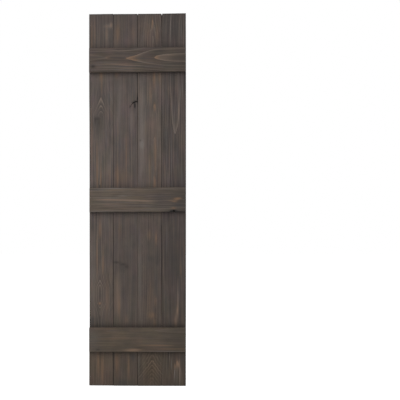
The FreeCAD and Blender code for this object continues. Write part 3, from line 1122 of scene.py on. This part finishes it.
class StudioSettings(bpy.types.PropertyGroup):
    """The camera, the lights and the pale floor."""
    camera_distance: length("Camera distance", "From the boards' front to the lens", 5000.0)
    view_width: length("View width", "Width of the picture at the boards' front", 1469.4)
    camera_side: length("Camera side", "How far right of the shutter the lens stands", 229.4)
    camera_height: length("Camera height", "Height of the lens above the shutter's middle", -0.9)
    fill: FloatProperty(name="Fill", description="Strength of the even light all round", default=0.34)
    key_power: FloatProperty(name="Key power", description="Power of the main soft light",
                             default=450.0, unit="POWER")
    rear_power: FloatProperty(name="Rear power", description="Power of the light behind",
                              default=26.0, unit="POWER")
    floor_glow: FloatProperty(name="Floor glow", description="How far the floor is lifted to white",
                              default=0.72)


def timber_values(scene, node):
    """What every board and batten takes."""
    sizes = scene.shutter_sizes
    low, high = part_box(node)
    return {
        "Lines Across": sizes.lines_across, "Lines Through": sizes.lines_through, "Thickness": high.y - low.y,
        "Arris Radius": sizes.arris_radius, "Back Radius": sizes.back_radius, "End Ease": sizes.end_ease,
        "Seed": FIGURES[node].seed, "Place": tuple((low + high) / 2),
        "Material": stained_softwood(node, scene.stain_colours, scene.stain_contrast),
    }


def socket_values(sizes):
    """Where the screws go and how their heads lie."""
    return {
        "Batten Pitch": BATTEN_PITCH, "Screw Spread": sizes.screw_spread, "Head Radius": sizes.head_radius,
        "Head Depth": sizes.head_depth, "Head Sink": sizes.head_sink,
    }


class SHUTTER_OT_boards(bpy.types.Operator):
    """Build the four upright boards"""
    bl_idname = "shutter.boards"
    bl_label = "Build boards"

    def execute(self, context):
        sizes = context.scene.shutter_sizes
        for number, node in enumerate(BOARDS):
            low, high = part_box(node)
            values = timber_values(context.scene, node) | socket_values(sizes) | {
                "Width": high.x - low.x, "Length": high.z - low.z, "Lines Along": sizes.lines_along,
                "Top Slope": TOP_SLOPES[node], "Foot Slope": FOOT_SLOPES[node],
                "Left Nick": NICKS.get(number, WHOLE_CORNER),
                "Right Nick": NICKS.get(number + 1, WHOLE_CORNER),
            }
            cuts = (SOCKET_INPUTS,)
            if node == CRACKED_BOARD:
                cuts = (SOCKET_INPUTS, CRACK_INPUTS)
                values["Crack Place"] = (high.x, low.y, CRACK_HEIGHT)
                values["Crack Size"] = CRACK_SIZE
                values["Crack Width"] = sizes.crack_width
            left_edge = LEFT_EDGE if node == BOARDS[0] else STRAIGHT
            right_edge = RIGHT_EDGE if node == BOARDS[-1] else STRAIGHT
            tree = timber_tree(f"dressed_{node}", (number, number + 1), (left_edge, right_edge), cuts)
            settle(grown(f"stained_{node}", tree, values), "boards", node)
        return {"FINISHED"}


class SHUTTER_OT_battens(bpy.types.Operator):
    """Build the three face battens"""
    bl_idname = "shutter.battens"
    bl_label = "Build battens"

    def execute(self, context):
        sizes = context.scene.shutter_sizes
        for node in BATTENS:
            low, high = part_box(node)
            values = timber_values(context.scene, node) | {
                "Width": BATTEN_WIDTH, "Length": high.x - low.x, "Lines Along": sizes.lines_along // 2,
                "Foot Trim": LEFT_TRIMS[node], "Rise": rise(node), "Turn": QUARTER_TURN,
            }
            cuts = ()
            if node == KNOTTY_BATTEN:
                cuts = (KNOT_INPUTS,)
                across = high.x - sizes.knot_from_end
                lower_edge = (low.z + high.z - BATTEN_WIDTH) / 2 + rise(node) * across / (high.x - low.x)
                values["Knot Place"] = (across, low.y, lower_edge)
                values["Knot Mouth"] = sizes.knot_mouth
                values["Knot Tip"] = sizes.knot_tip
                values["Knot Depth"] = sizes.knot_depth
            tree = timber_tree(f"dressed_{node}", cuts=cuts)
            settle(grown(f"stained_{node}", tree, values), "battens", node)
        return {"FINISHED"}


class SHUTTER_OT_screws(bpy.types.Operator):
    """Drive the screws that hold the battens, from the back"""
    bl_idname = "shutter.screws"
    bl_label = "Drive screws"

    def execute(self, context):
        sizes = context.scene.shutter_sizes
        values = socket_values(sizes) | {
            "Boards": len(BOARDS), "Board Width": BOARD_WIDTH, "Recess Width": sizes.recess_width,
            "Recess Depth": sizes.recess_depth, "Seed": SCREW_SEED,
            "Material": zinc_plate(context.scene.stain_colours),
        }
        settle(grown("batten_screws", screws_tree("batten_screws"), values), "screws")
        return {"FINISHED"}


# The stage, in metres
WHITE = (1.0, 1.0, 1.0, 1.0)
FLOOR_GREY = (0.86, 0.86, 0.86, 1.0)
FLOOR_HALF = 12.0
KEY_PLACE = (-3.3, -7.2, 5.2)
KEY_SIZE = 6.6
REAR_PLACE = (0.9, 2.2, 1.6)
REAR_SIZE = 1.8

# The width of the camera's sensor, in millimetres
SENSOR_WIDTH = 36.0


def seen_directly(sheet):
    """1 where the camera looks, straight or by way of a reflection or glass."""
    path = seen = sheet.add("ShaderNodeLightPath", give="Is Camera Ray")
    for ray in ("Is Glossy Ray", "Is Transmission Ray"):
        seen = seen.math("MAXIMUM", path.beside(ray))
    return seen


def lay_floor(glow):
    """A pale floor at the shutter's foot, lifted to white for the lens but still taking a shadow."""
    half, level = FLOOR_HALF, CAD_BOX[0].z
    mesh = bpy.data.meshes.new("studio_floor")
    corners = [(-half, -half, level), (half, -half, level), (half, half, level), (-half, half, level)]
    mesh.from_pydata(corners, [], [(0, 1, 2, 3)])
    floor = bpy.data.objects.new("studio_floor", mesh)
    bpy.context.scene.collection.objects.link(floor)
    material, sheet = blank_material("pale_floor")
    matte = sheet.add("ShaderNodeBsdfDiffuse", {}, {"Color": FLOOR_GREY})
    lift = sheet.add("ShaderNodeEmission", {}, {"Color": WHITE, "Strength": seen_directly(sheet) * glow})
    both = sheet.add("ShaderNodeAddShader", {}, {0: matte, 1: lift})
    sheet.add("ShaderNodeOutputMaterial", {}, {"Surface": both})
    mesh.materials.append(material)


def light_world(scene, fill):
    """Even light all round, which the lens sees as white."""
    world = bpy.data.worlds.new("studio_white")
    world.use_nodes = True
    world.node_tree.nodes.clear()
    sheet = Sheet(world.node_tree)
    strength = seen_directly(sheet) * (1.0 - fill) + fill
    sky = sheet.add("ShaderNodeBackground", {}, {"Color": WHITE, "Strength": strength})
    sheet.add("ShaderNodeOutputWorld", {}, {"Surface": sky})
    scene.world = world


def hang_light(name, place, size, power):
    """A square soft light that faces the shutter's middle."""
    lamp = bpy.data.lights.new(name, "AREA")
    lamp.shape = "SQUARE"
    lamp.size = size
    lamp.energy = power
    light = bpy.data.objects.new(name, lamp)
    light.location = place
    light.rotation_euler = (-Vector(place)).to_track_quat("-Z", "Y").to_euler()
    bpy.context.scene.collection.objects.link(light)


def place_camera(scene, studio):
    """A long lens square to the shutter's front."""
    lens = bpy.data.cameras.new("photo_camera")
    lens.sensor_width = SENSOR_WIDTH
    lens.lens = lens.sensor_width * studio.camera_distance / studio.view_width
    camera = bpy.data.objects.new("photo_camera", lens)
    camera.location = (studio.camera_side, BOARD_LOW.y - studio.camera_distance, studio.camera_height)
    camera.rotation_euler = (QUARTER_TURN, 0.0, 0.0)
    scene.collection.objects.link(camera)
    scene.camera = camera


class SHUTTER_OT_stage(bpy.types.Operator):
    """Set up the floor, the lights and the camera"""
    bl_idname = "shutter.stage"
    bl_label = "Set the stage"

    def execute(self, context):
        studio = context.scene.studio_settings
        context.scene.view_settings.view_transform = "Standard"
        lay_floor(studio.floor_glow)
        light_world(context.scene, studio.fill)
        hang_light("key_light", KEY_PLACE, KEY_SIZE, studio.key_power)
        hang_light("rear_light", REAR_PLACE, REAR_SIZE, studio.rear_power)
        place_camera(context.scene, studio)
        return {"FINISHED"}


class SHUTTER_PT_panel(bpy.types.Panel):
    """Lists the steps that dress the shutter"""
    bl_idname = "SHUTTER_PT_panel"
    bl_label = "Shutter"
    bl_space_type = "VIEW_3D"
    bl_region_type = "UI"
    bl_category = "Shutter"

    def draw(self, context):
        for step in STEPS:
            self.layout.operator(step.bl_idname)


STEPS = (SHUTTER_OT_boards, SHUTTER_OT_battens, SHUTTER_OT_screws, SHUTTER_OT_stage)
GROUPS = {
    "shutter_sizes": ShutterSizes, "stain_colours": StainColours, "stain_contrast": StainContrast,
    "studio_settings": StudioSettings,
}


def register():
    for kind in (*GROUPS.values(), *STEPS, SHUTTER_PT_panel):
        bpy.utils.register_class(kind)
    for name, group in GROUPS.items():
        setattr(bpy.types.Scene, name, PointerProperty(type=group))


def unregister():
    for name in GROUPS:
        delattr(bpy.types.Scene, name)
    for kind in reversed((*GROUPS.values(), *STEPS, SHUTTER_PT_panel)):
        bpy.utils.unregister_class(kind)


def main():
    register()
    bpy.ops.shutter.boards()
    bpy.ops.shutter.battens()
    bpy.ops.shutter.screws()
    bpy.ops.shutter.stage()


if __name__ == "__main__":
    main()
